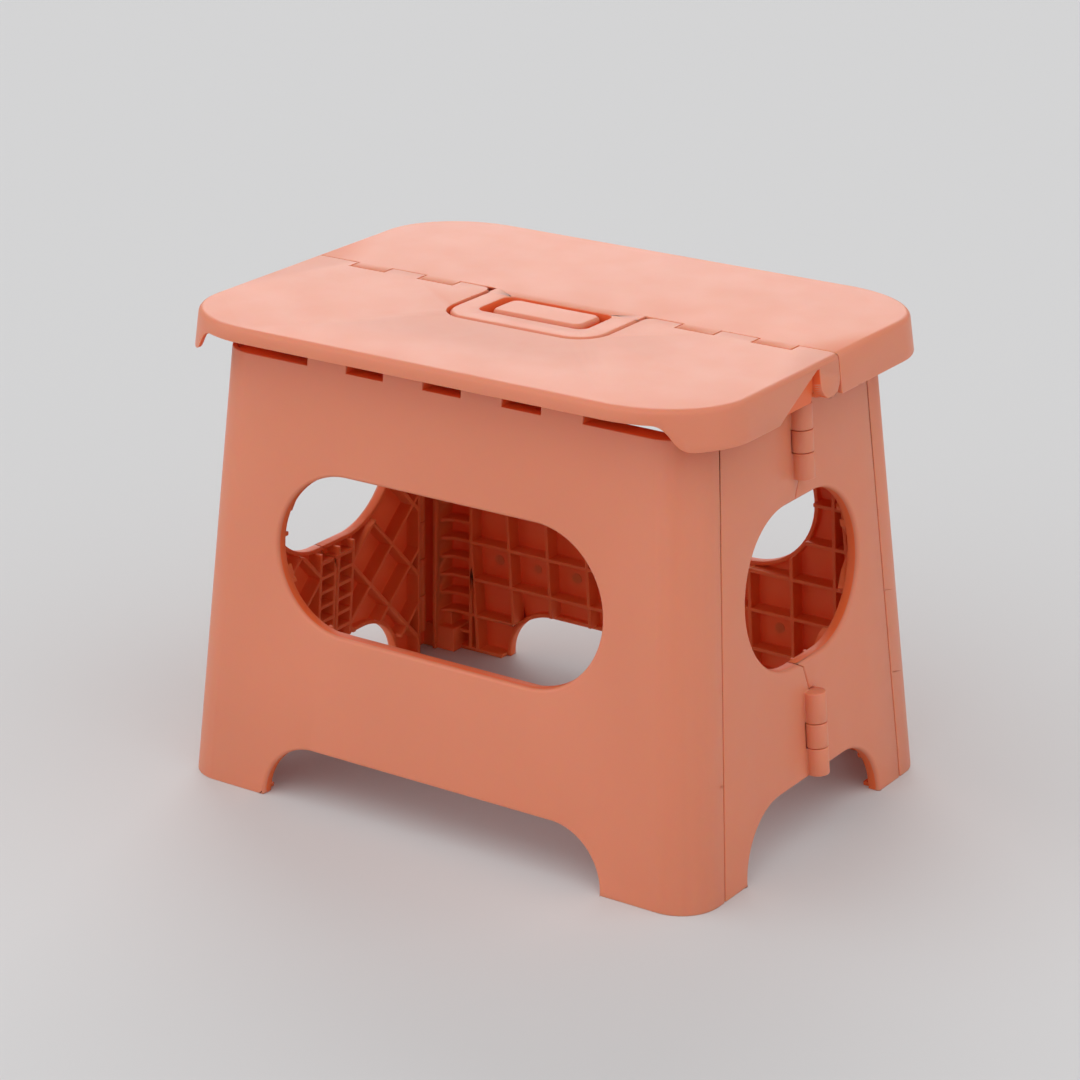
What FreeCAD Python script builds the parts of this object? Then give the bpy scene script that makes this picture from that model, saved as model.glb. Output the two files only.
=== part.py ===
import FreeCAD, Part
import math
import os

from FreeCAD import Vector

# Folding step stool in moulded plastic, in millimetres, +Z up, open for use.
# The origin is on the floor under the middle of the seat, +X along the long
# side of the seat and the front at -Y.

# Seat
SEAT_LENGTH = 290.0
SEAT_DEPTH = 214.0
SEAT_HEIGHT = 231.0
SEAT_TOP = 3.0
SEAT_WALL = 2.5
SKIRT_DEPTH = 18.5
SKIRT_FLARE = 2.5
LIP_DEPTH = 7.0
CORNER_ALONG = 48.0
CORNER_ACROSS = 40.0
EDGE_ROUND = 3.0
LIP_INSET = 26.0
DROP_RUN = 17.0
SEAT_RIB_DEPTH = 10.5
SEAT_RIB = 2.0
SEAT_RIB_PITCH = 26.0

# Walls that make the legs: how far the feet stand out past the seat's ends and in from
# its long sides, how far the walls stop below the seat, and the lean of each face
FEET_OUT_X = 1.0
FEET_IN_Y = 1.1
LEG_TOP_DROP = 18.5
LEAN_X = 0.0794
LEAN_Y = 0.0834
LEG_CORNER = 20.0
WALL = 2.5
RIB_DEPTH = 8.5
SIDE_RIB_DEPTH = 7.5
RIB = 2.0
RIB_PITCH_X = 24.0
RIB_SHIFT_X = 7.0
RIB_PITCH_Z = 21.1
LATTICE_PITCH = 24.0
RIM = 2.2
RIM_DEPTH = 3.5
HOLE_ROUND = 1.8

# Openings in the walls: the holes' height is measured down from the walls' top, and the
# widths leave this much of the wall's half width at the floor
HOLE_CENTRE_DROP = 87.0
HOLE_HALF_HEIGHT = 38.0
FRONT_HOLE_MARGIN = 56.2
SIDE_HOLE_MARGIN = 56.0
FRONT_ARCH_MARGIN = 50.7
FRONT_ARCH_HEIGHT = 28.0
SIDE_ARCH_MARGIN = 45.9
SIDE_ARCH_HEIGHT = 31.0

# Upright hinges: the corner axis stands inside the side face, the middle axis outside it
CORNER_AXIS_MARGIN = 25.7
CORNER_AXIS_LEAN = 0.079
CORNER_AXIS_INSET = 5.8
MIDDLE_AXIS_OUT = 3.0
MIDDLE_AXIS_LEAN = 0.0813
CORNER_BARREL = 3.3
CORNER_PIN = 1.6
CORNER_HINGE_FOOT = 12.0
CORNER_HINGE_DROP = 9.5
CORNER_KNUCKLES = 9
CORNER_ARM = 6.0
MIDDLE_BARREL = 5.2
MIDDLE_PIN = 1.75
MIDDLE_UPPER_DROPS = (38.8, 26.3, 15.8, 3.5)
MIDDLE_LOWER = (32.5, 46.0, 58.0, 73.0)
BARREL_CAP = 2.5
LADDER_HALF = 12.0
LADDER_PITCH = 8.0

# The middle seam steps towards the front where it meets the hole's rim
JOG_LOW = 12.0
JOG_LOW_KNEE = 4.0
JOG_LOW_KNEE_DROP = 2.5
JOG_LOW_RUN = 13.5
JOG_HIGH = 3.5
JOG_HIGH_RUN = 8.5

# Inside each corner of a leg wall: the last upright rib, a post plate behind the hinge, level
# bars between the two and a stepped block at the floor
EDGE_RIB_INSET = 27.0
POST_INSET = 10.0
POST_BLOCK_HEIGHT = 22.0
POST_BLOCK_STEP = 9.0

# Level hinges: the seat on each leg wall, and the two seat halves on each other
LEG_AXIS_DROP = 8.0
LEG_KNUCKLE = 4.6
LEG_KNUCKLE_WIDTH = 22.0
LEG_KNUCKLE_PITCH = 42.8
LEG_KNUCKLES = 4
LEG_LUG_WIDTH = 8.0
LUG_BRACE = 8.0
LEG_ROD = 2.0
END_LUG_X = 97.0
SEAT_AXIS_DROP = 12.5
SEAT_KNUCKLE = 6.0
SEAT_PIN = 2.0
SEAT_KNUCKLES_A_SIDE = 5
FRONT_SEAM = 10.0
REAR_SEAM = 3.0
SEAM_CORNER = 5.0

# The round tongue that closes each end of the front half's knuckles, and the cut in the end
# skirt beside it, down a slope to the skirt's foot, with a plate behind it
TONGUE_ROUND = 8.3
TONGUE_DROP = 9.7
TONGUE_THICK = 6.8
CUT_TOP_Y = 9.0
CUT_HIP_Y = 36.8
CUT_HIP_DROP = 15.1
CUT_FOOT_Y = 43.4

# Handle loop of the rear half, in the recess of the front half, a little right of the middle
HANDLE_SHIFT = 2.6
HANDLE_HALF = 41.8
HANDLE_REACH = 37.0
HANDLE_BAR = 13.5
HANDLE_ARM = 12.0
HANDLE_THICK = 6.5
HANDLE_CORNER = 15.0
HANDLE_ROUND = 2.2
RECESS_FLOOR = 2.5
FINGER_GAP = 4.0
FINGER_SIDE_GAP = 5.0
FINGER_CORNER = 5.0

# Clearances
SEAM_GAP = 0.6
WALL_SEAM_GAP = 0.9
END_GAP = 0.4
RUN_FIT = 0.08
PRESS_FIT = 0.015
BARREL_CLEARANCE = 0.4
OPEN_CORNER_FIT = 0.25
OPEN_SEAT_FIT = 1.3
RECESS_GAP = 1.5

# Overlap of pieces that are moulded in one, and how close a point counts as on a face
BITE = 1.0
TOUCH = 0.01

# Worked out from the sizes above
HALF_LENGTH = SEAT_LENGTH / 2
HALF_DEPTH = SEAT_DEPTH / 2
SEAT_UNDER = SEAT_HEIGHT - SEAT_TOP
SKIRT_FOOT = SEAT_HEIGHT - SKIRT_DEPTH
LIP_HALF = HALF_LENGTH - LIP_INSET
LEG_HEIGHT = SEAT_HEIGHT - LEG_TOP_DROP
BASE_HALF_X = HALF_LENGTH + FEET_OUT_X
BASE_HALF_Y = HALF_DEPTH - FEET_IN_Y
HOLE_CENTRE_Z = LEG_HEIGHT - HOLE_CENTRE_DROP
FRONT_HOLE_HALF = BASE_HALF_X - FRONT_HOLE_MARGIN
SIDE_HOLE_HALF = BASE_HALF_Y - SIDE_HOLE_MARGIN
FRONT_ARCH_HALF = BASE_HALF_X - FRONT_ARCH_MARGIN
SIDE_ARCH_HALF = BASE_HALF_Y - SIDE_ARCH_MARGIN
CORNER_AXIS_Y = BASE_HALF_Y - CORNER_AXIS_MARGIN
CORNER_HINGE_HEAD = LEG_HEIGHT - CORNER_HINGE_DROP
MIDDLE_UPPER = tuple(LEG_HEIGHT - drop for drop in MIDDLE_UPPER_DROPS)
HANDLE_RIGHT = HANDLE_SHIFT + HANDLE_HALF
SEAT_KNUCKLE_WIDTH = (HALF_LENGTH - HANDLE_RIGHT) / SEAT_KNUCKLES_A_SIDE
LEG_AXIS_Z = SEAT_HEIGHT - LEG_AXIS_DROP
SEAT_AXIS_Z = SEAT_HEIGHT - SEAT_AXIS_DROP
RIB_FOOT = SEAT_UNDER - SEAT_RIB_DEPTH
TONGUE_Y = FRONT_SEAM - SEAM_GAP / 2 - TONGUE_ROUND
TONGUE_Z = SEAT_HEIGHT - TONGUE_DROP
LEG_AXIS_Y = BASE_HALF_Y - LEAN_Y * LEG_AXIS_Z - LEG_KNUCKLE - BARREL_CLEARANCE
RIB_FIELD_HALF = HALF_LENGTH - 3 * SEAT_WALL
FAR = SEAT_LENGTH


def box(x0, x1, y0, y1, z0, z1):
    """A block between three pairs of planes."""
    return Part.makeBox(x1 - x0, y1 - y0, z1 - z0, Vector(x0, y0, z0))


def prism_x(outline, x0, x1):
    """A (y, z) polygon pushed along X from x0 to x1."""
    corners = [Vector(x0, y, z) for y, z in outline]
    return Part.Face(Part.makePolygon(corners + corners[:1])).extrude(Vector(x1 - x0, 0, 0))


def prism_y(outline, y0, y1):
    """An (x, z) polygon pushed along Y from y0 to y1."""
    corners = [Vector(x, y0, z) for x, z in outline]
    return Part.Face(Part.makePolygon(corners + corners[:1])).extrude(Vector(0, y1 - y0, 0))


def rod(start, end, radius):
    """A round bar between two points."""
    along = end.sub(start)
    return Part.makeCylinder(radius, along.Length, start, along)


def bar_x(radius, x0, x1, y, z):
    """A round bar along X."""
    return Part.makeCylinder(radius, x1 - x0, Vector(x0, y, z), Vector(1, 0, 0))


def join(pieces):
    """The pieces moulded in one."""
    return pieces[0].fuse(pieces[1:]).removeSplitter() if len(pieces) > 1 else pieces[0]


def mirror_x(shape):
    """The same piece on the other end of the stool."""
    return shape.mirror(Vector(0, 0, 0), Vector(1, 0, 0))


def mirror_y(shape):
    """The same piece on the other long side of the stool."""
    return shape.mirror(Vector(0, 0, 0), Vector(0, 1, 0))


# The four walls are parts of one leaning box with rounded upright corners


def face_x(z):
    """Half width of the box's outer face at height z."""
    return BASE_HALF_X - LEAN_X * z


def face_y(z):
    """Half depth of the box's outer face at height z."""
    return BASE_HALF_Y - LEAN_Y * z


def leaning_box(inset):
    """The leaning box, every wall moved inward by inset."""
    low_x = BASE_HALF_X - inset
    low_y = BASE_HALF_Y - inset
    high_x = face_x(LEG_HEIGHT) - inset
    high_y = face_y(LEG_HEIGHT) - inset
    across = [(-low_y, 0), (low_y, 0), (high_y, LEG_HEIGHT), (-high_y, LEG_HEIGHT)]
    along = [(-low_x, 0), (low_x, 0), (high_x, LEG_HEIGHT), (-high_x, LEG_HEIGHT)]
    solid = prism_x(across, -FAR, FAR).common(prism_y(along, -FAR, FAR))
    upright = [edge for edge in solid.Edges if edge.BoundBox.ZLength > LEG_HEIGHT / 2]
    return solid.makeFillet(LEG_CORNER - inset, upright)


def stadium(half, half_height, centre_z):
    """Outline points of a level stadium as edges in the (u, z) plane."""
    top = centre_z + half_height
    bottom = centre_z - half_height
    flat = half - half_height
    return [
        Part.LineSegment(Vector(-flat, 0, bottom), Vector(flat, 0, bottom)),
        Part.Arc(Vector(flat, 0, bottom), Vector(half, 0, centre_z), Vector(flat, 0, top)),
        Part.LineSegment(Vector(flat, 0, top), Vector(-flat, 0, top)),
        Part.Arc(Vector(-flat, 0, top), Vector(-half, 0, centre_z), Vector(-flat, 0, bottom)),
    ]


def arch(half, height):
    """Outline of a foot arch: quarter rounds up to a level top, open to below the floor."""
    flat = half - height
    bend = height * math.sqrt(0.5)
    below = -height
    return [
        Part.LineSegment(Vector(-half, 0, below), Vector(half, 0, below)),
        Part.LineSegment(Vector(half, 0, below), Vector(half, 0, 0)),
        Part.Arc(Vector(half, 0, 0), Vector(flat + bend, 0, bend), Vector(flat, 0, height)),
        Part.LineSegment(Vector(flat, 0, height), Vector(-flat, 0, height)),
        Part.Arc(Vector(-flat, 0, height), Vector(-flat - bend, 0, bend), Vector(-half, 0, 0)),
        Part.LineSegment(Vector(-half, 0, 0), Vector(-half, 0, below)),
    ]


def cutter(curves, side):
    """The outline pushed through the front wall, or turned to pass the side wall."""
    face = Part.Face(Part.Wire([curve.toShape() for curve in curves]))
    solid = face.extrude(Vector(0, -FAR, 0))
    if side:
        solid.rotate(Vector(0, 0, 0), Vector(0, 0, 1), 90)
    return solid


def openings(hole_half, arch_half, arch_height, side, grow=0.0):
    """Cutters for the hole and the foot arch of one wall, grown all round by grow."""
    hole = cutter(stadium(hole_half + grow, HOLE_HALF_HEIGHT + grow, HOLE_CENTRE_Z), side)
    foot = cutter(arch(arch_half + grow, arch_height + grow), side)
    return [hole, foot]


def on_outer_face(edge):
    """Whether an edge lies on one of the four outer faces."""
    points = edge.discretize(3)
    on_side = all(abs(abs(p.x) - face_x(p.z)) < TOUCH for p in points)
    return on_side or all(abs(abs(p.y) - face_y(p.z)) < TOUCH for p in points)


def wall_skin(outer, inner):
    """The skin of the four walls with every opening, rounded on the outside."""
    cutters = []
    for piece in openings(FRONT_HOLE_HALF, FRONT_ARCH_HALF, FRONT_ARCH_HEIGHT, False):
        cutters += [piece, mirror_y(piece)]
    for piece in openings(SIDE_HOLE_HALF, SIDE_ARCH_HALF, SIDE_ARCH_HEIGHT, True):
        cutters += [piece, mirror_x(piece)]
    skin = outer.cut(inner).cut(cutters)
    rounded = []
    for edge in skin.Edges:
        span = edge.BoundBox
        level = span.ZMax < TOUCH or span.ZMin > LEG_HEIGHT - TOUCH
        corner = span.ZLength > LEG_HEIGHT - TOUCH
        if on_outer_face(edge) and not level and not corner:
            rounded.append(edge)
    return skin.makeFillet(HOLE_ROUND, rounded)


def corner_axis(z):
    """A point of the right front corner hinge axis at height z."""
    lean = (MIDDLE_AXIS_OUT + CORNER_AXIS_INSET) * CORNER_AXIS_LEAN / CORNER_AXIS_Y
    x = BASE_HALF_X - CORNER_AXIS_INSET - (MIDDLE_AXIS_LEAN - lean) * z
    return Vector(x, -(CORNER_AXIS_Y - CORNER_AXIS_LEAN * z), z)


def middle_axis(z):
    """A point of the right side wall's middle hinge axis at height z."""
    return Vector(BASE_HALF_X + MIDDLE_AXIS_OUT - MIDDLE_AXIS_LEAN * z, 0, z)


def corner_spans(owner):
    """Height ranges of the corner knuckles; the leg wall owns the odd ones."""
    step = (CORNER_HINGE_HEAD - CORNER_HINGE_FOOT) / CORNER_KNUCKLES
    starts = range(0 if owner == "leg" else 1, CORNER_KNUCKLES, 2)
    return [(CORNER_HINGE_FOOT + i * step, CORNER_HINGE_FOOT + (i + 1) * step) for i in starts]


def corner_barrels(owner, radius, trim):
    """Round knuckles on the corner axis, each shortened by trim at both ends."""
    return [rod(corner_axis(a + trim), corner_axis(b - trim), radius) for a, b in corner_spans(owner)]


def corner_arms(owner, room):
    """Blocks that tie the barrels to their own wall's skin."""
    way = -1 if owner == "leg" else 1
    arms = []
    for low, high in corner_spans(owner):
        a = corner_axis(low + END_GAP / 2)
        b = corner_axis(high - END_GAP / 2)
        reach = way * CORNER_ARM
        outline = [(a.y, a.z), (a.y + reach, a.z), (b.y + reach, b.z), (b.y, b.z)]
        inner = [(a.x, a.z), (a.x + FAR, a.z), (b.x + FAR, b.z), (b.x, b.z)]
        arms.append(prism_x(outline, 0, FAR).common(prism_y(inner, -FAR, 0)).common(room))
    return arms


def corner_hinge(body, owner, room, bore):
    """Adds the wall's own corner knuckles, clears the other wall's, and bores them."""
    other = "side" if owner == "leg" else "leg"
    body = body.cut(corner_barrels(other, CORNER_BARREL + BARREL_CLEARANCE, -END_GAP / 2))
    own = corner_barrels(owner, CORNER_BARREL, END_GAP / 2) + corner_arms(owner, room)
    foot = corner_axis(CORNER_HINGE_FOOT - END_GAP)
    head = corner_axis(CORNER_HINGE_HEAD + END_GAP)
    hole = rod(foot, head, bore)
    return join([body] + own).cut(hole)


def behind(distance, lean):
    """All that lies in front of a leaning plane, which meets the floor at -distance."""
    high = distance - lean * LEG_HEIGHT
    outline = [(-distance, 0), (-high, LEG_HEIGHT), (-FAR, LEG_HEIGHT), (-FAR, 0)]
    return prism_x(outline, -FAR, FAR)


def beside(near, far):
    """Two upright slabs that lean with the side faces, from near to far inside them."""
    low = face_x(0)
    high = face_x(LEG_HEIGHT)
    outline = [(low - far, 0), (low - near, 0), (high - near, LEG_HEIGHT), (high - far, LEG_HEIGHT)]
    right = prism_y(outline, -FAR, 0)
    return [right, mirror_x(right)]


def level_slabs(pitch):
    """Level ribs one pitch apart up the whole wall, with one at the top and at the floor."""
    slabs = [box(-FAR, FAR, -FAR, 0, LEG_HEIGHT - RIB, LEG_HEIGHT), box(-FAR, FAR, -FAR, 0, 0, RIB)]
    for i in range(1, int(LEG_HEIGHT // pitch)):
        z = i * pitch
        slabs.append(box(-FAR, FAR, -FAR, 0, z - RIB / 2, z + RIB / 2))
    return slabs


def rib_field():
    """Rib grid of a leg wall between its two leaning edge ribs."""
    half = BASE_HALF_X - EDGE_RIB_INSET
    slabs = level_slabs(RIB_PITCH_Z)
    count = int(half // RIB_PITCH_X) + 1
    for i in range(-count, count + 1):
        x = RIB_SHIFT_X + i * RIB_PITCH_X
        slabs.append(box(x - RIB / 2, x + RIB / 2, -FAR, 0, 0, LEG_HEIGHT))
    slabs += beside(EDGE_RIB_INSET, EDGE_RIB_INSET + RIB)
    low = BASE_HALF_X - EDGE_RIB_INSET
    high = face_x(LEG_HEIGHT) - EDGE_RIB_INSET
    field = prism_y([(-low, 0), (low, 0), (high, LEG_HEIGHT), (-high, LEG_HEIGHT)], -FAR, 0)
    return slabs[0].fuse(slabs[1:]).common(field)


def corner_posts(room):
    """Post plates behind the corner hinges and the stepped blocks at their feet."""
    reach = CORNER_AXIS_Y + CORNER_ARM
    plates = [plate.common(behind(reach, CORNER_AXIS_LEAN))
              for plate in beside(POST_INSET, POST_INSET + RIB)]
    for step in (0, 1):
        near = BASE_HALF_X - LEG_CORNER - WALL + step * POST_BLOCK_STEP / 2
        deep = CORNER_AXIS_Y + CORNER_BARREL + POST_BLOCK_STEP * (1 + step) / 2
        top = POST_BLOCK_HEIGHT + (step - 1) * POST_BLOCK_STEP
        block = box(near, FAR, -FAR, -deep, 0, top)
        plates += [block, mirror_x(block)]
    return [plate.common(room) for plate in plates]


def leg_wall(skin, inner):
    """Front wall: skin wrapped round both corners, rib grid, rims, knuckles for the seat."""
    zone = behind(CORNER_AXIS_Y + WALL_SEAM_GAP / 2, CORNER_AXIS_LEAN)
    room = inner.common(zone)
    layer = room.cut(leaning_box(WALL + RIB_DEPTH))
    rims = openings(FRONT_HOLE_HALF, FRONT_ARCH_HALF, FRONT_ARCH_HEIGHT, False, RIM)
    holes = openings(FRONT_HOLE_HALF, FRONT_ARCH_HALF, FRONT_ARCH_HEIGHT, False)
    bars = level_slabs(RIB_PITCH_Z / 2)
    gap = beside(POST_INSET, EDGE_RIB_INSET)
    bars = bars[0].fuse(bars[1:]).common(gap[0].fuse(gap[1]))
    bars = bars.common(behind(CORNER_AXIS_Y + CORNER_ARM, CORNER_AXIS_LEAN))
    ribs = rib_field().fuse(bars).common(layer).cut(rims)
    rim_layer = room.cut(leaning_box(WALL + RIM_DEPTH))
    rings = [rim.common(rim_layer) for rim in rims]
    body = join([skin.common(zone), ribs] + rings + corner_posts(room)).cut(holes)
    for side in (0, 1):
        bored = corner_hinge(body, "leg", leaning_box(WALL / 2), CORNER_PIN + PRESS_FIT)
        body = mirror_x(bored)
    knuckles = []
    foot = LEG_HEIGHT - RIB
    for i in range(LEG_KNUCKLES):
        x = (i - (LEG_KNUCKLES - 1) / 2) * LEG_KNUCKLE_PITCH
        outline = [(-face_y(foot), foot), (-face_y(LEG_AXIS_Z), LEG_AXIS_Z)]
        outline += [(-LEG_AXIS_Y + LEG_KNUCKLE, LEG_AXIS_Z), (-LEG_AXIS_Y + LEG_KNUCKLE, foot)]
        x0 = x - LEG_KNUCKLE_WIDTH / 2
        x1 = x + LEG_KNUCKLE_WIDTH / 2
        knuckles.append(prism_x(outline, x0, x1))
        knuckles.append(bar_x(LEG_KNUCKLE, x0, x1, -LEG_AXIS_Y, LEG_AXIS_Z))
    return join([body] + knuckles).cut(leg_hinge_bore(PRESS_FIT))


def lattice(low_y, high_y):
    """Ribs that cross at 45 degrees in the side wall's plane."""
    slabs = []
    span = LEG_HEIGHT + high_y - low_y
    step = LATTICE_PITCH * math.sqrt(2)
    centre = Vector(0, (low_y + high_y) / 2, LEG_HEIGHT / 2)
    count = int(span / step / 2) + 1
    for slope in (45, -45):
        for i in range(-count, count + 1):
            slab = box(0, FAR, -span, span, -RIB / 2, RIB / 2)
            slab.rotate(Vector(0, 0, 0), Vector(1, 0, 0), slope)
            slab.translate(centre + Vector(0, i * step, 0))
            slabs.append(slab)
    return slabs


def middle_edge(cut_back):
    """The half's edge along the middle seam, up from the floor, stepped beside the hole's rim.

    The front half is cut back there and the rear half reaches over, each by half the gap less.
    """
    way = -1 if cut_back else 1
    edge = -SEAM_GAP / 2
    low = HOLE_CENTRE_Z - HOLE_HALF_HEIGHT + RIM
    high = HOLE_CENTRE_Z + HOLE_HALF_HEIGHT + RIM
    return [
        (edge, 0),
        (edge, low - JOG_LOW_RUN - RIM),
        (edge + way * JOG_LOW_KNEE, low - JOG_LOW_KNEE_DROP - RIM),
        (edge + way * JOG_LOW, low),
        (edge + way * JOG_LOW, HOLE_CENTRE_Z),
        (edge + way * JOG_HIGH, HOLE_CENTRE_Z),
        (edge + way * JOG_HIGH, high),
        (edge, high + JOG_HIGH_RUN - RIM),
        (edge, LEG_HEIGHT),
    ]


def side_half(skin, inner, owner_middle, corner_bore, middle_bore):
    """Front half of the right side wall; owner_middle says which middle knuckles it has."""
    seam = CORNER_AXIS_Y - WALL_SEAM_GAP / 2
    top_y = seam - CORNER_AXIS_LEAN * LEG_HEIGHT
    edge = -SEAM_GAP / 2
    zone = prism_x([(-seam, 0)] + middle_edge(owner_middle == "outer") + [(-top_y, LEG_HEIGHT)], 0, FAR)
    rims = openings(SIDE_HOLE_HALF, SIDE_ARCH_HALF, SIDE_ARCH_HEIGHT, True, RIM)
    holes = openings(SIDE_HOLE_HALF, SIDE_ARCH_HALF, SIDE_ARCH_HEIGHT, True)
    post_low = CORNER_ARM - seam
    post_high = CORNER_ARM - top_y
    upright = [(post_low - RIB, 0), (post_low, 0), (post_high, LEG_HEIGHT), (post_high - RIB, LEG_HEIGHT)]
    fill = prism_x([(post_low, 0), (-LADDER_HALF, 0), (-LADDER_HALF, LEG_HEIGHT),
                    (post_high, LEG_HEIGHT)], 0, FAR)
    crossed = lattice(-seam, -LADDER_HALF)
    lattice_ribs = crossed[0].fuse(crossed[1:]).common(fill)
    slabs = [
        prism_x(upright, 0, FAR),
        box(0, FAR, -LADDER_HALF - RIB, -LADDER_HALF, 0, LEG_HEIGHT),
        box(0, FAR, edge - RIB, edge, 0, LEG_HEIGHT),
        box(0, FAR, -FAR, JOG_LOW, LEG_HEIGHT - RIB, LEG_HEIGHT),
        box(0, FAR, -FAR, JOG_LOW, 0, RIB),
    ]
    for i in range(1, int(LEG_HEIGHT // LADDER_PITCH)):
        z = i * LADDER_PITCH
        slabs.append(box(0, FAR, -LADDER_HALF, JOG_LOW, z - RIB / 2, z + RIB / 2))
    clear_of_corner = prism_x([(post_low - RIB, 0), (JOG_LOW, 0), (JOG_LOW, LEG_HEIGHT),
                               (post_high - RIB, LEG_HEIGHT)], 0, FAR)
    room = inner.common(zone).common(clear_of_corner)
    ribs = lattice_ribs.fuse(slabs).common(room.cut(leaning_box(WALL + SIDE_RIB_DEPTH))).cut(rims)
    rim_layer = room.cut(leaning_box(WALL + RIM_DEPTH))
    rings = [rim.common(rim_layer) for rim in rims]
    knuckle_room = bar_x(SEAT_KNUCKLE + RECESS_GAP, 0, FAR, 0, SEAT_AXIS_Z)
    body = join([skin.common(zone), ribs] + rings).cut(holes + [knuckle_room])
    body = corner_hinge(body, "side", leaning_box(WALL / 2), corner_bore)
    for heights in (MIDDLE_UPPER, MIDDLE_LOWER):
        for i in range(3):
            low = middle_axis(heights[i])
            high = middle_axis(heights[i + 1])
            trim = high.sub(low).normalize().multiply(END_GAP / 2)
            if (i != 1) == (owner_middle == "outer"):
                body = join([body, rod(low.add(trim), high.sub(trim), MIDDLE_BARREL)])
            else:
                body = body.cut(rod(low.sub(trim), high.add(trim), MIDDLE_BARREL + BARREL_CLEARANCE))
        foot = middle_axis(heights[0] - END_GAP)
        head = middle_axis(heights[3] - BARREL_CAP)
        body = body.cut(rod(foot, head, middle_bore))
    return body


# Seat


def seat_outline(inset):
    """Plan of the whole seat: straight sides and elliptical corners."""
    x = HALF_LENGTH - inset
    y = HALF_DEPTH - inset
    along = CORNER_ALONG - inset
    across = CORNER_ACROSS - inset
    curves = []
    quarter = math.pi / 2
    straight_x = x - along
    straight_y = y - across
    centres = [(straight_x, straight_y), (-straight_x, straight_y), (-straight_x, -straight_y),
               (straight_x, -straight_y)]
    for i, (cx, cy) in enumerate(centres):
        ellipse = Part.Ellipse(Vector(cx, cy, 0), along, across)
        curves.append(Part.ArcOfEllipse(ellipse, i * quarter, (i + 1) * quarter).toShape())
    edges = []
    for i in range(4):
        edges.append(curves[i])
        start = curves[i].valueAt(curves[i].LastParameter)
        end = curves[(i + 1) % 4].valueAt(curves[(i + 1) % 4].FirstParameter)
        edges.append(Part.makeLine(start, end))
    return Part.Wire(edges)


def seat_block(inset, z0, z1):
    """The seat's plan as a block between two heights, its sides flared as the skirt is."""
    plans = []
    for z in (z0, z1):
        plan = seat_outline(inset - SKIRT_FLARE * (SEAT_HEIGHT - z) / SKIRT_DEPTH)
        plan.translate(Vector(0, 0, z))
        plans.append(plan)
    return Part.makeLoft(plans, True, True)


def seat_form():
    """The seat's outer form as one block, with its top edge rounded."""
    block = seat_block(0, SKIRT_FOOT, SEAT_HEIGHT)
    rim = [edge for edge in block.Edges if edge.BoundBox.ZMin > SEAT_HEIGHT - TOUCH]
    return block.makeFillet(EDGE_ROUND, rim)


def seat_shell(form):
    """Top plate with its skirt, cut shallow along both long sides between the corners."""
    shell = form.cut(seat_block(SEAT_WALL, SKIRT_FOOT, SEAT_UNDER))
    lip_z = SEAT_HEIGHT - LIP_DEPTH
    middle = Vector(LIP_HALF + DROP_RUN / 2, 0, (lip_z + SKIRT_FOOT) / 2)
    drop = Part.BezierCurve()
    drop.setPoles([Vector(LIP_HALF, 0, lip_z), Vector(middle.x, 0, lip_z),
                   Vector(middle.x, 0, SKIRT_FOOT), Vector(LIP_HALF + DROP_RUN, 0, SKIRT_FOOT)])
    foot = Vector(LIP_HALF + DROP_RUN, 0, SKIRT_FOOT - SEAT_TOP)
    edges = [
        drop.toShape(),
        Part.makeLine(Vector(LIP_HALF + DROP_RUN, 0, SKIRT_FOOT), foot),
        Part.makeLine(foot, Vector(0, 0, foot.z)),
        Part.makeLine(Vector(0, 0, foot.z), Vector(0, 0, lip_z)),
        Part.makeLine(Vector(0, 0, lip_z), Vector(LIP_HALF, 0, lip_z)),
    ]
    notch = Part.Face(Part.Wire(edges)).extrude(Vector(0, CORNER_ACROSS, 0))
    notch.translate(Vector(0, -HALF_DEPTH - SKIRT_FLARE - SEAT_WALL, 0))
    return shell.cut([notch, mirror_x(notch), mirror_y(notch), mirror_x(mirror_y(notch))])


def seat_knuckle_spans(front):
    """Ranges along X of the seat knuckles right of the handle; the front half has the end ones."""
    starts = range(0 if front else 1, SEAT_KNUCKLES_A_SIDE, 2)
    width = SEAT_KNUCKLE_WIDTH
    return [(HANDLE_RIGHT + i * width, HANDLE_RIGHT + (i + 1) * width) for i in starts]


def both_sides(spans):
    """The same ranges left of the handle too, with the end one reaching the seat's end."""
    left = []
    for a, b in spans:
        far = -HALF_LENGTH if b > HALF_LENGTH - BITE else 2 * HANDLE_SHIFT - b
        left.append((far, 2 * HANDLE_SHIFT - a))
    return spans + left


def about_handle(shape):
    """The same piece on the other side of the handle."""
    return shape.mirror(Vector(HANDLE_SHIFT, 0, 0), Vector(1, 0, 0))


def seam_zone(trim):
    """Everything in front of the stepped seam, moved forward by trim."""
    low = SEAT_HEIGHT - 2 * SKIRT_DEPTH
    high = SEAT_HEIGHT + SEAT_TOP
    pieces = [box(-FAR, FAR, -FAR, REAR_SEAM - trim, low, high)]
    for x0, x1 in both_sides(seat_knuckle_spans(True)):
        x1 = x1 + FAR if x1 > HALF_LENGTH - BITE else x1 - trim
        x0 = x0 - FAR if x0 < BITE - HALF_LENGTH else x0 + trim
        pieces.append(box(x0, x1, -FAR, FRONT_SEAM - trim, low, high))
    return join(pieces)


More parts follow.
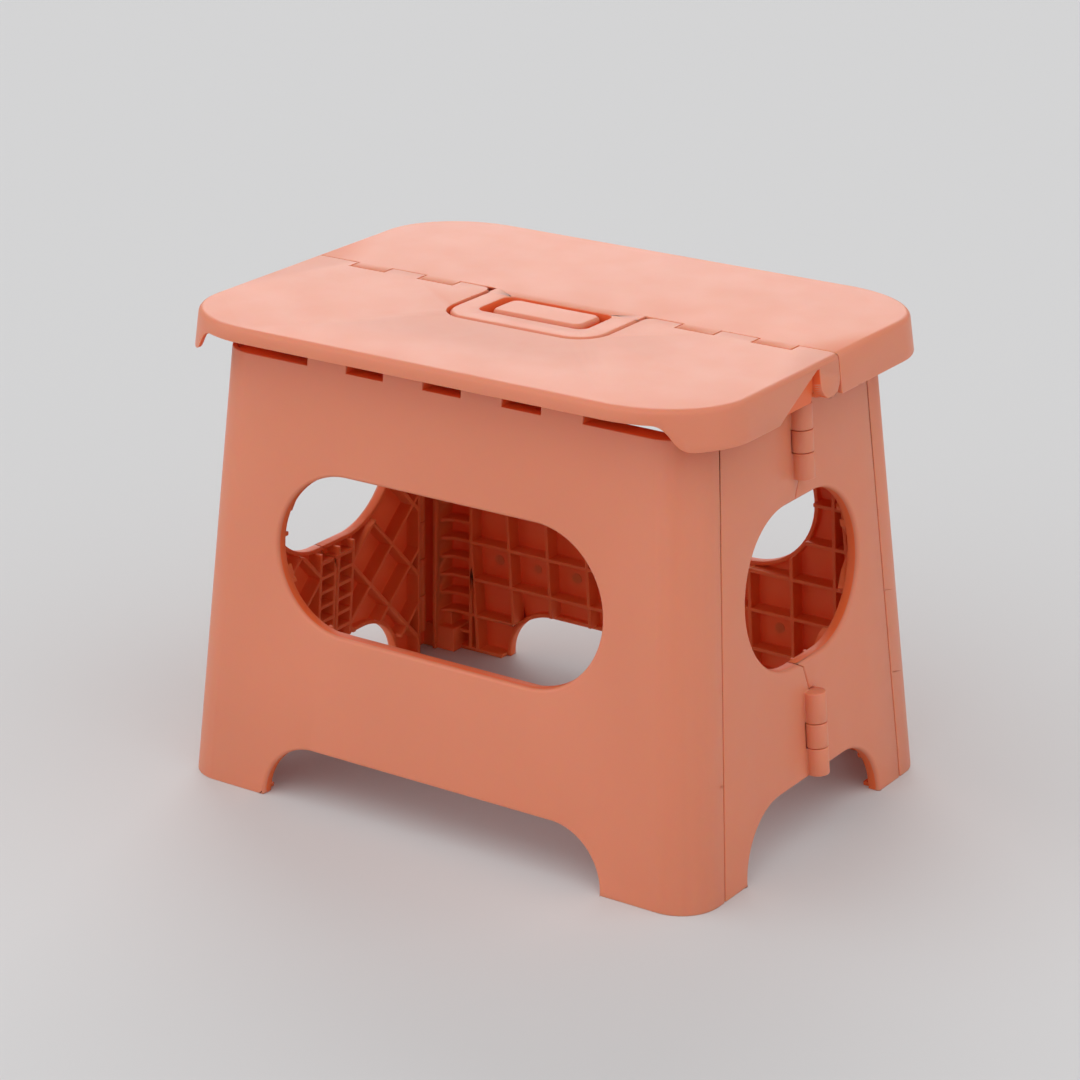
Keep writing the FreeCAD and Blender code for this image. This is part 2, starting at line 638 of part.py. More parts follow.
def loop_outline(grow):
    """Plan of the handle: straight arms and a front bar with rounded corners."""
    right = HANDLE_RIGHT + grow
    left = HANDLE_SHIFT - HANDLE_HALF - grow
    reach = HANDLE_REACH + grow
    corner = HANDLE_CORNER + grow
    bend = corner * (1 - math.sqrt(0.5))
    back = REAR_SEAM + SEAM_GAP + HANDLE_BAR
    points = [Vector(right, back, 0), Vector(right, corner - reach, 0), Vector(right - corner, -reach, 0)]
    points += [Vector(left + corner, -reach, 0), Vector(left, corner - reach, 0), Vector(left, back, 0)]
    edges = [
        Part.makeLine(points[0], points[1]),
        Part.Arc(points[1], Vector(right - bend, bend - reach, 0), points[2]).toShape(),
        Part.makeLine(points[2], points[3]),
        Part.Arc(points[3], Vector(left + bend, bend - reach, 0), points[4]).toShape(),
        Part.makeLine(points[4], points[5]),
        Part.makeLine(points[5], points[0]),
    ]
    return Part.Face(Part.Wire(edges))


def slab(face, z0, z1):
    """A plan outline as a plate between two heights."""
    solid = face.extrude(Vector(0, 0, z1 - z0))
    solid.translate(Vector(0, 0, z0))
    return solid


def rounded_block(x0, x1, y0, y1, z0, z1, corner):
    """A plate with rounded upright corners and a soft top edge."""
    block = box(x0, x1, y0, y1, z0, z1)
    upright = [edge for edge in block.Edges if edge.BoundBox.ZLength > (z1 - z0) / 2]
    block = block.makeFillet(corner, upright)
    rim = [edge for edge in block.Edges if edge.BoundBox.ZMin > z1 - TOUCH]
    return block.makeFillet(HANDLE_ROUND, rim)


def finger_hole(z0, z1):
    """The hole inside the handle loop."""
    half = HANDLE_HALF - HANDLE_ARM
    block = box(HANDLE_SHIFT - half, HANDLE_SHIFT + half, HANDLE_BAR - HANDLE_REACH,
                REAR_SEAM + SEAM_GAP / 2, z0, z1)
    upright = [edge for edge in block.Edges if edge.BoundBox.ZLength > (z1 - z0) / 2]
    return block.makeFillet(FINGER_CORNER, upright)


def seam_corner():
    """What rounds off the front half's knuckle where it stands beside the handle's right arm."""
    x = HANDLE_RIGHT + RECESS_GAP
    y = FRONT_SEAM - SEAM_GAP / 2
    z0 = SEAT_UNDER
    z1 = SEAT_HEIGHT + SEAT_TOP
    centre = Vector(x + SEAM_CORNER, y - SEAM_CORNER, z0)
    square = box(x - BITE, x + SEAM_CORNER, y - SEAM_CORNER, y + BITE, z0, z1)
    return square.cut(Part.makeCylinder(SEAM_CORNER, z1 - z0, centre))


def under_ribs(half_length, near_y, far_y, foot):
    """Ribs under a front seat half between near_y and far_y, both in front of the seam."""
    ribs = []
    count = int(half_length // SEAT_RIB_PITCH)
    for i in range(-count, count + 1):
        x = i * SEAT_RIB_PITCH
        ribs.append(box(x - SEAT_RIB / 2, x + SEAT_RIB / 2, far_y, near_y, foot, SEAT_UNDER))
    steps = max(2, round((near_y - far_y) / SEAT_RIB_PITCH))
    for i in range(steps + 1):
        y = far_y + i * (near_y - far_y - SEAT_RIB) / steps
        ribs.append(box(-half_length, half_length, y, y + SEAT_RIB, foot, SEAT_UNDER))
    for way in (-1, 1):
        x = way * half_length
        inner = x - way * SEAT_RIB
        ribs.append(box(min(x, inner), max(x, inner), far_y, near_y, foot, SEAT_UNDER))
    return ribs


def leg_lugs():
    """Lugs under a front seat half that hold the rod of the leg hinge."""
    lugs = []
    places = [-END_LUG_X] + [i * LEG_KNUCKLE_PITCH for i in range(-1, 2)] + [END_LUG_X]
    for x in places:
        x0 = x - LEG_LUG_WIDTH / 2
        x1 = x + LEG_LUG_WIDTH / 2
        lugs.append(bar_x(LEG_KNUCKLE, x0, x1, -LEG_AXIS_Y, LEG_AXIS_Z))
        front = -LEG_AXIS_Y - LEG_KNUCKLE
        back = -LEG_AXIS_Y + LEG_KNUCKLE
        lugs.append(box(x0, x1, front, back, LEG_AXIS_Z, SEAT_UNDER))
        brace = [(back - BITE, LEG_AXIS_Z), (back - BITE, SEAT_UNDER),
                 (back + LUG_BRACE, SEAT_UNDER), (back + LUG_BRACE, RIB_FOOT)]
        lugs.append(prism_x(brace, x0, x1))
    return lugs


def leg_hinge_bore(fit):
    """Bore for the rod of the front leg hinge, open at both ends of the rod."""
    half = END_LUG_X + LEG_LUG_WIDTH / 2 + END_GAP
    return bar_x(LEG_ROD + fit, -half, half, -LEG_AXIS_Y, LEG_AXIS_Z)


def seat_knuckles(spans, way, root):
    """Round knuckles on the seat axis with a web to the wall at root."""
    pieces = []
    web_foot = SEAT_AXIS_Z - SEAT_KNUCKLE / 3
    for x0, x1 in both_sides(spans):
        a = x0 + (END_GAP / 2 if abs(x0) < HALF_LENGTH - BITE else TONGUE_THICK / 2)
        b = x1 - (END_GAP / 2 if abs(x1) < HALF_LENGTH - BITE else TONGUE_THICK / 2)
        pieces.append(bar_x(SEAT_KNUCKLE, a, b, 0, SEAT_AXIS_Z))
        near = 0 if way < 0 else REAR_SEAM
        pieces.append(box(a, b, min(near, root), max(near, root), web_foot, SEAT_UNDER))
    return pieces


def end_tongues(form):
    """Round tongues down from the plate over both ends of the seat hinge."""
    top = SEAT_UNDER + BITE
    start = HALF_LENGTH - TONGUE_THICK
    end = HALF_LENGTH + 2 * SKIRT_FLARE
    low = TONGUE_Y - TONGUE_ROUND
    high = TONGUE_Y + TONGUE_ROUND
    tongue = bar_x(TONGUE_ROUND, start, end, TONGUE_Y, TONGUE_Z)
    tongue = tongue.fuse(box(start, end, low, high, TONGUE_Z, top)).common(form)
    return [tongue, mirror_x(tongue)]


def skirt_cuts():
    """The cut in both end skirts beside the tongues, and the plates that stand behind it."""
    below = SKIRT_FOOT - BITE
    outline = [(FRONT_SEAM + BITE, SEAT_UNDER), (-CUT_TOP_Y, SEAT_UNDER),
               (-CUT_HIP_Y, SEAT_HEIGHT - CUT_HIP_DROP), (-CUT_FOOT_Y, SKIRT_FOOT),
               (-CUT_FOOT_Y, below), (FRONT_SEAM + BITE, below)]
    near = HALF_LENGTH - SEAT_WALL
    cut = prism_x(outline, near, HALF_LENGTH + 2 * SKIRT_FLARE)
    wall_y = CUT_TOP_Y - SEAM_GAP
    plate = box(near - SEAT_RIB, near, -CUT_FOOT_Y - SEAT_WALL, -wall_y, SKIRT_FOOT, SEAT_UNDER + BITE)
    return [cut, mirror_x(cut)], [plate, mirror_x(plate)]


def front_seat(form, shell):
    """Front half: plate, recess with its island, knuckles, ribs and the cut corner of the skirt."""
    cuts, plates = skirt_cuts()
    body = shell.common(seam_zone(SEAM_GAP / 2)).cut(cuts)
    wall_y = -SEAT_KNUCKLE - OPEN_SEAT_FIT - SEAT_RIB
    far_y = -LEG_AXIS_Y + LEG_KNUCKLE + SEAT_RIB
    pieces = under_ribs(RIB_FIELD_HALF, wall_y + SEAT_RIB, far_y, RIB_FOOT)
    pieces += leg_lugs() + end_tongues(form) + plates
    pieces += seat_knuckles(seat_knuckle_spans(True), -1, wall_y)
    recess_low = SEAT_HEIGHT - HANDLE_THICK - RECESS_GAP - RECESS_FLOOR
    tub = slab(loop_outline(RECESS_GAP + RECESS_FLOOR), recess_low, SEAT_UNDER)
    island_back = REAR_SEAM - SEAM_GAP - RECESS_GAP
    tub = tub.common(box(-FAR, FAR, -FAR, island_back, 0, FAR))
    body = join([body, tub] + pieces)
    hollow = slab(loop_outline(RECESS_GAP), recess_low + RECESS_FLOOR, SEAT_HEIGHT + SEAT_TOP)
    half = HANDLE_HALF - HANDLE_ARM - FINGER_SIDE_GAP
    island = rounded_block(HANDLE_SHIFT - half, HANDLE_SHIFT + half,
                           HANDLE_BAR + FINGER_GAP - HANDLE_REACH, island_back, recess_low,
                           SEAT_HEIGHT, FINGER_CORNER)
    body = join([body.cut(hollow), island])
    corner = seam_corner()
    body = body.cut([corner, about_handle(corner)])
    right = HANDLE_RIGHT - RECESS_GAP
    left = right - 2 * HANDLE_SHIFT
    end = HALF_LENGTH - SEAT_WALL
    bores = [bar_x(SEAT_PIN + PRESS_FIT, right, end, 0, SEAT_AXIS_Z),
             bar_x(SEAT_PIN + PRESS_FIT, -end, -left, 0, SEAT_AXIS_Z)]
    return body.cut(bores + [leg_hinge_bore(RUN_FIT)])


def rear_seat(shell):
    """Rear half: plate, knuckles, ribs and the handle loop."""
    body = shell.cut(seam_zone(-SEAM_GAP / 2))
    edge_y = FRONT_SEAM + SEAM_GAP / 2
    body = body.cut(box(-FAR, FAR, 0, edge_y, SKIRT_FOOT - BITE, SEAT_UNDER))
    wall_y = SEAT_KNUCKLE + OPEN_SEAT_FIT + 2 * SEAT_RIB
    far_y = -LEG_AXIS_Y + LEG_KNUCKLE + SEAT_RIB
    ribs = under_ribs(RIB_FIELD_HALF, SEAT_RIB - wall_y, far_y, RIB_FOOT)
    pieces = [mirror_y(rib) for rib in ribs]
    pieces += [mirror_y(lug) for lug in leg_lugs()]
    pieces += seat_knuckles(seat_knuckle_spans(False), 1, wall_y)
    low = SEAT_HEIGHT - HANDLE_THICK
    loop = slab(loop_outline(0), low, SEAT_HEIGHT)
    top = [edge for edge in loop.Edges if edge.BoundBox.ZMin > SEAT_HEIGHT - TOUCH]
    rim = [edge for edge in top if edge.BoundBox.YMin < REAR_SEAM]
    loop = loop.makeFillet(HANDLE_ROUND, rim)
    loop = loop.cut(finger_hole(low - BITE, SEAT_HEIGHT + BITE))
    body = join([body, loop] + pieces)
    end = HALF_LENGTH - SEAT_KNUCKLE_WIDTH
    left = HANDLE_RIGHT - 2 * HANDLE_SHIFT
    bores = [bar_x(SEAT_PIN + OPEN_SEAT_FIT, HANDLE_RIGHT, end, 0, SEAT_AXIS_Z),
             bar_x(SEAT_PIN + OPEN_SEAT_FIT, 2 * HANDLE_SHIFT - end, -left, 0, SEAT_AXIS_Z)]
    return body.cut(bores + [mirror_y(leg_hinge_bore(RUN_FIT))])


# Pins


def pins():
    """Every steel pin and rod, by name."""
    made = {}
    end = HALF_LENGTH - SEAT_WALL
    left = HANDLE_SHIFT - HANDLE_HALF
    made["right_seat_hinge_pin"] = bar_x(SEAT_PIN, HANDLE_RIGHT, end, 0, SEAT_AXIS_Z)
    made["left_seat_hinge_pin"] = bar_x(SEAT_PIN, -end, left, 0, SEAT_AXIS_Z)
    rod_half = END_LUG_X + LEG_LUG_WIDTH / 2
    made["front_leg_hinge_rod"] = bar_x(LEG_ROD, -rod_half, rod_half, -LEG_AXIS_Y, LEG_AXIS_Z)
    foot = corner_axis(CORNER_HINGE_FOOT)
    head = corner_axis(CORNER_HINGE_HEAD)
    made["right_front_corner_pin"] = rod(foot, head, CORNER_PIN)
    for name, heights in (("upper", MIDDLE_UPPER), ("lower", MIDDLE_LOWER)):
        pin_head = middle_axis(heights[3] - BARREL_CAP - END_GAP)
        pin = rod(middle_axis(heights[0]), pin_head, MIDDLE_PIN)
        made["right_" + name + "_side_pin"] = pin
        made["left_" + name + "_side_pin"] = mirror_x(pin)
    made["rear_leg_hinge_rod"] = mirror_y(made["front_leg_hinge_rod"])
    made["left_front_corner_pin"] = mirror_x(made["right_front_corner_pin"])
    made["right_rear_corner_pin"] = mirror_y(made["right_front_corner_pin"])
    made["left_rear_corner_pin"] = mirror_x(made["right_rear_corner_pin"])
    return made


def stool():
    """Every piece of the stool, by name, standing open."""
    inner = leaning_box(WALL)
    skin = wall_skin(leaning_box(0), inner)
    nodes = pins()
    leg = leg_wall(skin, inner)
    nodes["front_leg_panel"] = leg
    nodes["rear_leg_panel"] = mirror_y(leg)
    corner_run = CORNER_PIN + RUN_FIT
    corner_open = CORNER_PIN + OPEN_CORNER_FIT
    held = side_half(skin, inner, "outer", corner_run, MIDDLE_PIN + PRESS_FIT)
    nodes["right_front_side_half"] = held
    nodes["left_front_side_half"] = mirror_x(held)
    swung = side_half(skin, inner, "inner", corner_run, MIDDLE_PIN + RUN_FIT)
    nodes["right_rear_side_half"] = mirror_y(swung)
    loose = side_half(skin, inner, "inner", corner_open, MIDDLE_PIN + RUN_FIT)
    nodes["left_rear_side_half"] = mirror_x(mirror_y(loose))
    form = seat_form()
    shell = seat_shell(form)
    nodes["front_seat_half"] = front_seat(form, shell)
    nodes["rear_seat_half"] = rear_seat(shell)
    return nodes


os.makedirs("parts", exist_ok=True)
for name, shape in stool().items():
    shape.Solids[0].exportStep("parts/" + name + ".step")
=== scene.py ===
import bpy, bmesh, math
from mathutils import Matrix, Vector


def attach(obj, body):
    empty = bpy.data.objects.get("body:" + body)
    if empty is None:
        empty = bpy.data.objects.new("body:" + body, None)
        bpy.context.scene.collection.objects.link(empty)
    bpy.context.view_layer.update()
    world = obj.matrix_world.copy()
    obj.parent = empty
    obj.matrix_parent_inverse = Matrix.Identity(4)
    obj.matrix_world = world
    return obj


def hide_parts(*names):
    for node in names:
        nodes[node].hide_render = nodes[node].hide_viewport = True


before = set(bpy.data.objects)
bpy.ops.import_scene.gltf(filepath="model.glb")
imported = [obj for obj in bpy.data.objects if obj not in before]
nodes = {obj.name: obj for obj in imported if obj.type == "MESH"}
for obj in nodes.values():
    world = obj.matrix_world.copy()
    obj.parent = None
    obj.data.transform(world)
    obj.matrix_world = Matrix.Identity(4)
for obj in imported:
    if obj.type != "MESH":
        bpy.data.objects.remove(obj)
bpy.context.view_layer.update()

# Seat
# The two halves are injection moulded in soft salmon polypropylene: a top plate with a
# skirt, ribs below, and knuckles that take the hinge pins. Every edge left by the mould is
# a little round, and handling has polished it.
SALMON = (0.755, 0.245, 0.135)
# Painted glow: the deeper orange on faces inside the stool stands in for light come through the
# plastic.
SALMON_PAINTED_GLOW = (0.85, 0.15, 0.035)
SHADE_SCALE = 11
SHADE_DRIFT = 0.02
GLOSS_SCALE = 55
FLOW_SCALE = 22
FLOW_DEPTH = 0.00006
GRAIN_SCALE = 2400
PLASTIC_IOR = 1.5
GLOW_SHARE = 0.4
GLOW_REACH = (1.0, 0.22, 0.06)
GLOW_DEPTH = 0.0045


def noise(tree, place, scale, detail=2.0):
    """A noise texture in the piece's own coordinates."""
    made = tree.nodes.new("ShaderNodeTexNoise")
    made.inputs["Scale"].default_value = scale
    made.inputs["Detail"].default_value = detail
    tree.links.new(place.outputs["Object"], made.inputs["Vector"])
    return made.outputs["Fac"]


def ranged(tree, source, low, high, start=0.3, end=0.7):
    """The middle of a noise spread from low to high."""
    made = tree.nodes.new("ShaderNodeMapRange")
    made.inputs["From Min"].default_value = start
    made.inputs["From Max"].default_value = end
    made.inputs["To Min"].default_value = low
    made.inputs["To Max"].default_value = high
    tree.links.new(source, made.inputs["Value"])
    return made.outputs["Result"]


def bumped(tree, height, distance, strength, below=None):
    """A bump of the given depth in metres, on top of another one."""
    made = tree.nodes.new("ShaderNodeBump")
    made.inputs["Strength"].default_value = strength
    made.inputs["Distance"].default_value = distance
    tree.links.new(height, made.inputs["Height"])
    if below:
        tree.links.new(below, made.inputs["Normal"])
    return made.outputs["Normal"]


def plastic(name, colour, lighten, gloss_low, gloss_high, grain_depth):
    """Moulded polypropylene: fine grain, slow shade drift, varying gloss, light let through."""
    made = bpy.data.materials.new(name)
    made.use_nodes = True
    tree = made.node_tree
    shader = tree.nodes["Principled BSDF"]
    place = tree.nodes.new("ShaderNodeTexCoord")
    shade = ranged(tree, noise(tree, place, SHADE_SCALE, 3),
                   lighten - SHADE_DRIFT, lighten + SHADE_DRIFT)
    tint = tree.nodes.new("ShaderNodeMix")
    tint.data_type = "RGBA"
    tint.blend_type = "MULTIPLY"
    tint.inputs["Factor"].default_value = 1.0
    tint.inputs["A"].default_value = (*colour, 1)
    tree.links.new(shade, tint.inputs["B"])
    tree.links.new(tint.outputs["Result"], shader.inputs["Base Color"])
    gloss = ranged(tree, noise(tree, place, GLOSS_SCALE, 4), gloss_low, gloss_high)
    tree.links.new(gloss, shader.inputs["Roughness"])
    flow = bumped(tree, noise(tree, place, FLOW_SCALE, 1), FLOW_DEPTH, 0.3)
    grain = bumped(tree, noise(tree, place, GRAIN_SCALE), grain_depth, 0.5, flow)
    tree.links.new(grain, shader.inputs["Normal"])
    shader.inputs["IOR"].default_value = PLASTIC_IOR
    shader.inputs["Subsurface Weight"].default_value = GLOW_SHARE
    shader.inputs["Subsurface Radius"].default_value = GLOW_REACH
    shader.inputs["Subsurface Scale"].default_value = GLOW_DEPTH
    return made


salmon = plastic("salmon_plastic", SALMON, 1.0, 0.41, 0.47, 0.00003)
salmon_edge = plastic("salmon_worn_edge", SALMON, 1.06, 0.24, 0.42, 0.00001)
# The inside coat is a painted glow, a more saturated copy of the same plastic.
salmon_painted_glow = plastic("salmon_painted_glow", SALMON_PAINTED_GLOW, 1.0, 0.5, 0.6, 0.00001)

# Faces behind the outer skin are painted a deeper orange, a painted glow for the light
# that has come through the plastic. Walls and seat are boxes with round corners, in metres.
WALL_X = 0.146
WALL_Y = 0.1059
LEAN_X = 0.0794
LEAN_Y = 0.0834
WALL_CORNER = 0.02
SEAT_X = 0.145
SEAT_Y = 0.107
SEAT_Z = 0.231
SEAT_FLARE = 0.135
SEAT_CORNER = 0.04
UNDER_SEAT = 0.228
SKIN = 0.002


def behind_skin(spot, half_x, half_y, corner):
    """Whether a spot lies behind the skin of an upright box with round corners."""
    past_x = max(abs(spot.x) - (half_x - corner), 0)
    past_y = max(abs(spot.y) - (half_y - corner), 0)
    return math.hypot(past_x, past_y) < corner - SKIN


def hidden(node, face):
    """Whether a face is on the inside of the stool."""
    spot = face.center
    if "seat" in node:
        grown = SEAT_FLARE * (SEAT_Z - spot.z)
        below = spot.z < UNDER_SEAT + SKIN / 4 and face.normal.z < 0.5
        return below and behind_skin(spot, SEAT_X + grown, SEAT_Y + grown, SEAT_CORNER + grown)
    return behind_skin(spot, WALL_X - LEAN_X * spot.z, WALL_Y - LEAN_Y * spot.z, WALL_CORNER)


MERGE_WITHIN = 2e-6
FLAT_WITHIN = math.radians(0.3)
MOULD_EDGE = 0.00045
EDGE_STEPS = 2
EDGE_ANGLE = math.radians(32)


def merged(mesh):
    """Joins the mesh's flat triangles to faces that bevel well."""
    work = bmesh.new()
    work.from_mesh(mesh)
    bmesh.ops.remove_doubles(work, verts=work.verts, dist=MERGE_WITHIN)
    bmesh.ops.dissolve_limit(work, angle_limit=FLAT_WITHIN, verts=work.verts,
                             edges=work.edges, delimit={"NORMAL"})
    wide = [face for face in work.faces if len(face.verts) > 4]
    bmesh.ops.triangulate(work, faces=wide, ngon_method="BEAUTY")
    work.to_mesh(mesh)
    work.free()
    mesh.shade_smooth()


def moulded(node, body):
    """The node's shape with eased edges, in plastic, on its body."""
    mesh = nodes[node].data.copy()
    merged(mesh)
    mesh.materials.clear()
    for coat in (salmon, salmon_edge, salmon_painted_glow):
        mesh.materials.append(coat)
    for face in mesh.polygons:
        face.material_index = 0
    rough = bpy.data.objects.new(node + "_rough", mesh)
    bpy.context.scene.collection.objects.link(rough)
    ease = rough.modifiers.new("eased edges", "BEVEL")
    ease.width = MOULD_EDGE
    ease.segments = EDGE_STEPS
    ease.limit_method = "ANGLE"
    ease.angle_limit = EDGE_ANGLE
    ease.use_clamp_overlap = False
    ease.harden_normals = True
    ease.material = 1
    graph = bpy.context.evaluated_depsgraph_get()
    made = bpy.data.meshes.new_from_object(rough.evaluated_get(graph))
    bpy.data.objects.remove(rough)
    top = max(corner[2] for corner in nodes[node].bound_box)
    for vertex in made.vertices:
        vertex.co.z = min(vertex.co.z, top)
    # Faces inside the stool get the painted glow coat.
    for face in made.polygons:
        if hidden(node, face):
            face.material_index = 2
    piece = bpy.data.objects.new("moulded_" + node, made)
    bpy.context.scene.collection.objects.link(piece)
    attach(piece, body)
    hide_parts(node)


moulded("front_seat_half", "front_seat")
moulded("rear_seat_half", "rear_seat")

# Ejector marks
# Where the mould's ejector pins pushed the piece out, low round spots stand on the hidden
# side, one in the middle of a cell between the ribs.
MARK_RADIUS = 0.0026
MARK_PROUD = 0.0002
MARK_SIDES = 24
MARK_SPREAD = 0.1
MARK_SEED = 7
WALL_COLUMNS = 9
WALL_ROWS = 2
WALL_MARKS_WIDTH = 0.192
WALL_MARKS_HEIGHT = 0.1266
WALL_MARKS_X = -0.005
WALL_MARKS_Z = 0.1161
WALL_INSIDE_Y = 0.1034
SEAT_COLUMNS = 10
SEAT_MARKS_WIDTH = 0.234
SEAT_MARKS_Y = 0.0636


def mark_tree():
    """Low discs on the points of a flat grid, each a little larger or smaller."""
    tree = bpy.data.node_groups.new("ejector_marks", "GeometryNodeTree")
    sockets = tree.interface
    for name, kind, value in (("Columns", "NodeSocketInt", WALL_COLUMNS),
                              ("Rows", "NodeSocketInt", WALL_ROWS),
                              ("Width", "NodeSocketFloat", WALL_MARKS_WIDTH),
                              ("Height", "NodeSocketFloat", WALL_MARKS_HEIGHT),
                              ("Radius", "NodeSocketFloat", MARK_RADIUS),
                              ("Proud", "NodeSocketFloat", MARK_PROUD)):
        socket = sockets.new_socket(name=name, in_out="INPUT", socket_type=kind)
        socket.default_value = value
    sockets.new_socket(name="Material", in_out="INPUT", socket_type="NodeSocketMaterial")
    sockets.new_socket(name="Geometry", in_out="OUTPUT", socket_type="NodeSocketGeometry")
    start = tree.nodes.new("NodeGroupInput")
    end = tree.nodes.new("NodeGroupOutput")
    link = tree.links.new
    grid = tree.nodes.new("GeometryNodeMeshGrid")
    link(start.outputs["Width"], grid.inputs["Size X"])
    link(start.outputs["Height"], grid.inputs["Size Y"])
    link(start.outputs["Columns"], grid.inputs["Vertices X"])
    link(start.outputs["Rows"], grid.inputs["Vertices Y"])
    points = tree.nodes.new("GeometryNodeMeshToPoints")
    link(grid.outputs["Mesh"], points.inputs["Mesh"])
    disc = tree.nodes.new("GeometryNodeMeshCylinder")
    disc.inputs["Vertices"].default_value = MARK_SIDES
    link(start.outputs["Radius"], disc.inputs["Radius"])
    double = tree.nodes.new("ShaderNodeMath")
    double.operation = "MULTIPLY"
    double.inputs[1].default_value = 2
    link(start.outputs["Proud"], double.inputs[0])
    link(double.outputs["Value"], disc.inputs["Depth"])
    spread = tree.nodes.new("FunctionNodeRandomValue")
    spread.data_type = "FLOAT"
    spread.inputs["Min"].default_value = 1 - MARK_SPREAD
    spread.inputs["Max"].default_value = 1 + MARK_SPREAD
    spread.inputs["Seed"].default_value = MARK_SEED
    place = tree.nodes.new("GeometryNodeInstanceOnPoints")
    link(points.outputs["Points"], place.inputs["Points"])
    link(disc.outputs["Mesh"], place.inputs["Instance"])
    size = next(socket for socket in spread.outputs if socket.enabled)
    link(size, place.inputs["Scale"])
    real = tree.nodes.new("GeometryNodeRealizeInstances")
    link(place.outputs["Instances"], real.inputs["Geometry"])
    coat = tree.nodes.new("GeometryNodeSetMaterial")
    link(real.outputs["Geometry"], coat.inputs["Geometry"])
    link(start.outputs["Material"], coat.inputs["Material"])
    link(coat.outputs["Geometry"], end.inputs["Geometry"])
    return tree


marks = mark_tree()


def mark_piece(name, body, placing, **sizes):
    """One set of marks, laid by the placing matrix on the hidden side of a body."""
    holder = bpy.data.objects.new(name + "_rough", bpy.data.meshes.new(name + "_rough"))
    bpy.context.scene.collection.objects.link(holder)
    maker = holder.modifiers.new("marks", "NODES")
    maker.node_group = marks
    for socket in marks.interface.items_tree:
        if socket.item_type == "SOCKET" and socket.in_out == "INPUT" and socket.name in sizes:
            maker[socket.identifier] = sizes[socket.name]
        # The ejector marks take the painted glow coat as well.
        elif socket.item_type == "SOCKET" and socket.name == "Material":
            maker[socket.identifier] = salmon_painted_glow
    graph = bpy.context.evaluated_depsgraph_get()
    mesh = bpy.data.meshes.new_from_object(holder.evaluated_get(graph))
    bpy.data.objects.remove(holder)
    mesh.transform(placing)
    if placing.determinant() < 0:
        mesh.flip_normals()
    piece = bpy.data.objects.new(name, mesh)
    bpy.context.scene.collection.objects.link(piece)
    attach(piece, body)


for side, body in ((-1, "front_seat"), (1, "rear_seat")):
    mark_piece("under_" + body + "_marks", body,
               Matrix.Translation((0, side * SEAT_MARKS_Y, UNDER_SEAT)),
               Columns=SEAT_COLUMNS, Rows=1, Width=SEAT_MARKS_WIDTH, Height=0.0)
for side, body in ((-1, "front_leg"), (1, "rear_leg")):
    tilt = Matrix.Rotation(side * (math.radians(90) + math.atan(LEAN_Y)), 4, "X")
    out = side * (WALL_INSIDE_Y - LEAN_Y * WALL_MARKS_Z)
    mark_piece(body + "_marks", body,
               Matrix.Translation((WALL_MARKS_X, out, WALL_MARKS_Z)) @ tilt)

# Leg walls
# Each long wall is one moulding: a skin wrapped round both corners, with a grid of ribs
# behind it. It stands on its own cut edge.
moulded("front_leg_panel", "front_leg")
moulded("rear_leg_panel", "rear_leg")

# Side walls
# Each end wall is two mouldings that fold inward on the barrels of the middle hinge, and
# hang in the corner knuckles of the leg walls.
for side in ("right", "left"):
    for half in ("front", "rear"):
        moulded(side + "_" + half + "_side_half", side + "_" + half + "_side")

# Pins and rods
# Drawn steel wire, cut to length and pressed into one side of each hinge.
DRAWN_SCALE = 900
SCRATCH_SCALE = 1800
SCRATCH_DEPTH = 0.00001
GREY_SCALE = 120
steel = bpy.data.materials.new("pin_steel")
steel.use_nodes = True
tree = steel.node_tree
shader = tree.nodes["Principled BSDF"]
shader.inputs["Metallic"].default_value = 1
place = tree.nodes.new("ShaderNodeTexCoord")
drawn = ranged(tree, noise(tree, place, DRAWN_SCALE, 3), 0.22, 0.4)
tree.links.new(drawn, shader.inputs["Roughness"])
scratches = bumped(tree, noise(tree, place, SCRATCH_SCALE), SCRATCH_DEPTH, 0.4)
tree.links.new(scratches, shader.inputs["Normal"])
grey = ranged(tree, noise(tree, place, GREY_SCALE, 2), 0.56, 0.66)
tree.links.new(grey, shader.inputs["Base Color"])
for node, part in nodes.items():
    if "pin" in node or "rod" in node:
        part.material_slots[0].material = steel

# Floor
# A wide sheet of pale paper, matt, that fills the whole view.
REACH = 9
PAPER_COLOUR = (0.69, 0.69, 0.695, 1)
PAPER_ROUGHNESS = 0.9
floor_mesh = bpy.data.meshes.new("floor")
corners = [(-REACH, -REACH, 0), (REACH, -REACH, 0), (REACH, REACH, 0), (-REACH, REACH, 0)]
floor_mesh.from_pydata(corners, [], [(0, 1, 2, 3)])
floor = bpy.data.objects.new("floor", floor_mesh)
bpy.context.scene.collection.objects.link(floor)
paper = bpy.data.materials.new("paper")
paper.use_nodes = True
sheet = paper.node_tree.nodes["Principled BSDF"]
sheet.inputs["Base Color"].default_value = PAPER_COLOUR
sheet.inputs["Roughness"].default_value = PAPER_ROUGHNESS
sheet.inputs["Specular IOR Level"].default_value = 0.0
floor_mesh.materials.append(paper)

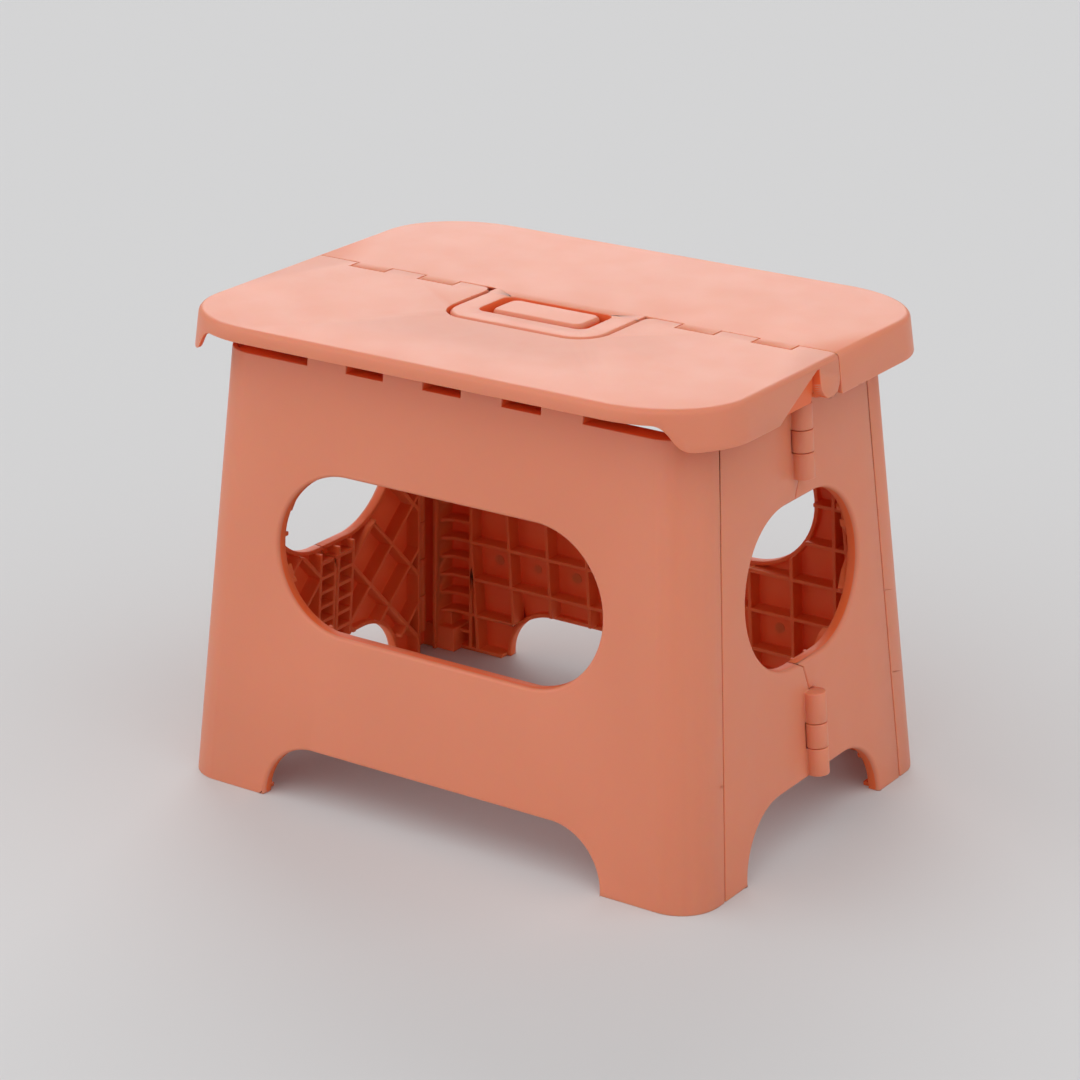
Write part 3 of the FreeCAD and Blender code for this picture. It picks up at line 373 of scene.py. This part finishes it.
# Light
# Two wide soft lights, one on the front and one on the right side, a soft one from behind
# that lies on the top, and an even room.
ROOM_STRENGTH = 0.36


def soft_sun(name, toward, strength, angle):
    """A sun that shines from the direction toward, as wide as angle."""
    light = bpy.data.lights.new(name, "SUN")
    light.energy = strength
    light.angle = math.radians(angle)
    lamp = bpy.data.objects.new(name, light)
    lamp.rotation_euler = Vector(toward).to_track_quat("Z", "Y").to_euler()
    bpy.context.scene.collection.objects.link(lamp)


soft_sun("front_light", (-0.5, -0.8, 0.73), 1.27, 90)
soft_sun("side_light", (0.9, -0.1, 0.73), 0.98, 90)
soft_sun("back_light", (-0.48, 0.70, 0.45), 1.0, 44)
room = bpy.data.worlds.new("studio")
room.use_nodes = True
glow = room.node_tree.nodes["Background"]
glow.inputs["Color"].default_value = (1, 1, 1, 1)
glow.inputs["Strength"].default_value = ROOM_STRENGTH
bpy.context.scene.world = room

# Camera
# It stands before the right front corner and looks a little down on the seat.
AZIMUTH = math.radians(34.475)
ELEVATION = math.radians(20.589)
DISTANCE = 1.61422
ROLL = math.radians(-0.2717)
SENSOR = 36
FOCAL = SENSOR * 3329.84 / 1080
AIM_ALONG = -0.00698
AIM_UP = 0.10866
back = Vector((math.sin(AZIMUTH) * math.cos(ELEVATION), -math.cos(AZIMUTH) * math.cos(ELEVATION),
               math.sin(ELEVATION)))
level = Vector((math.cos(AZIMUTH), math.sin(AZIMUTH), 0))
upright = back.cross(level)
right = level * math.cos(ROLL) + upright * math.sin(ROLL)
up = upright * math.cos(ROLL) - level * math.sin(ROLL)
eye = right * AIM_ALONG + up * AIM_UP + back * DISTANCE
lens = bpy.data.cameras.new("camera")
lens.sensor_width = SENSOR
lens.sensor_fit = "HORIZONTAL"
lens.lens = FOCAL
camera = bpy.data.objects.new("camera", lens)
bpy.context.scene.collection.objects.link(camera)
turn = Matrix((right, up, back)).transposed().to_4x4()
camera.matrix_world = Matrix.Translation(eye) @ turn
bpy.context.scene.camera = camera
bpy.context.scene.view_settings.view_transform = "Standard"
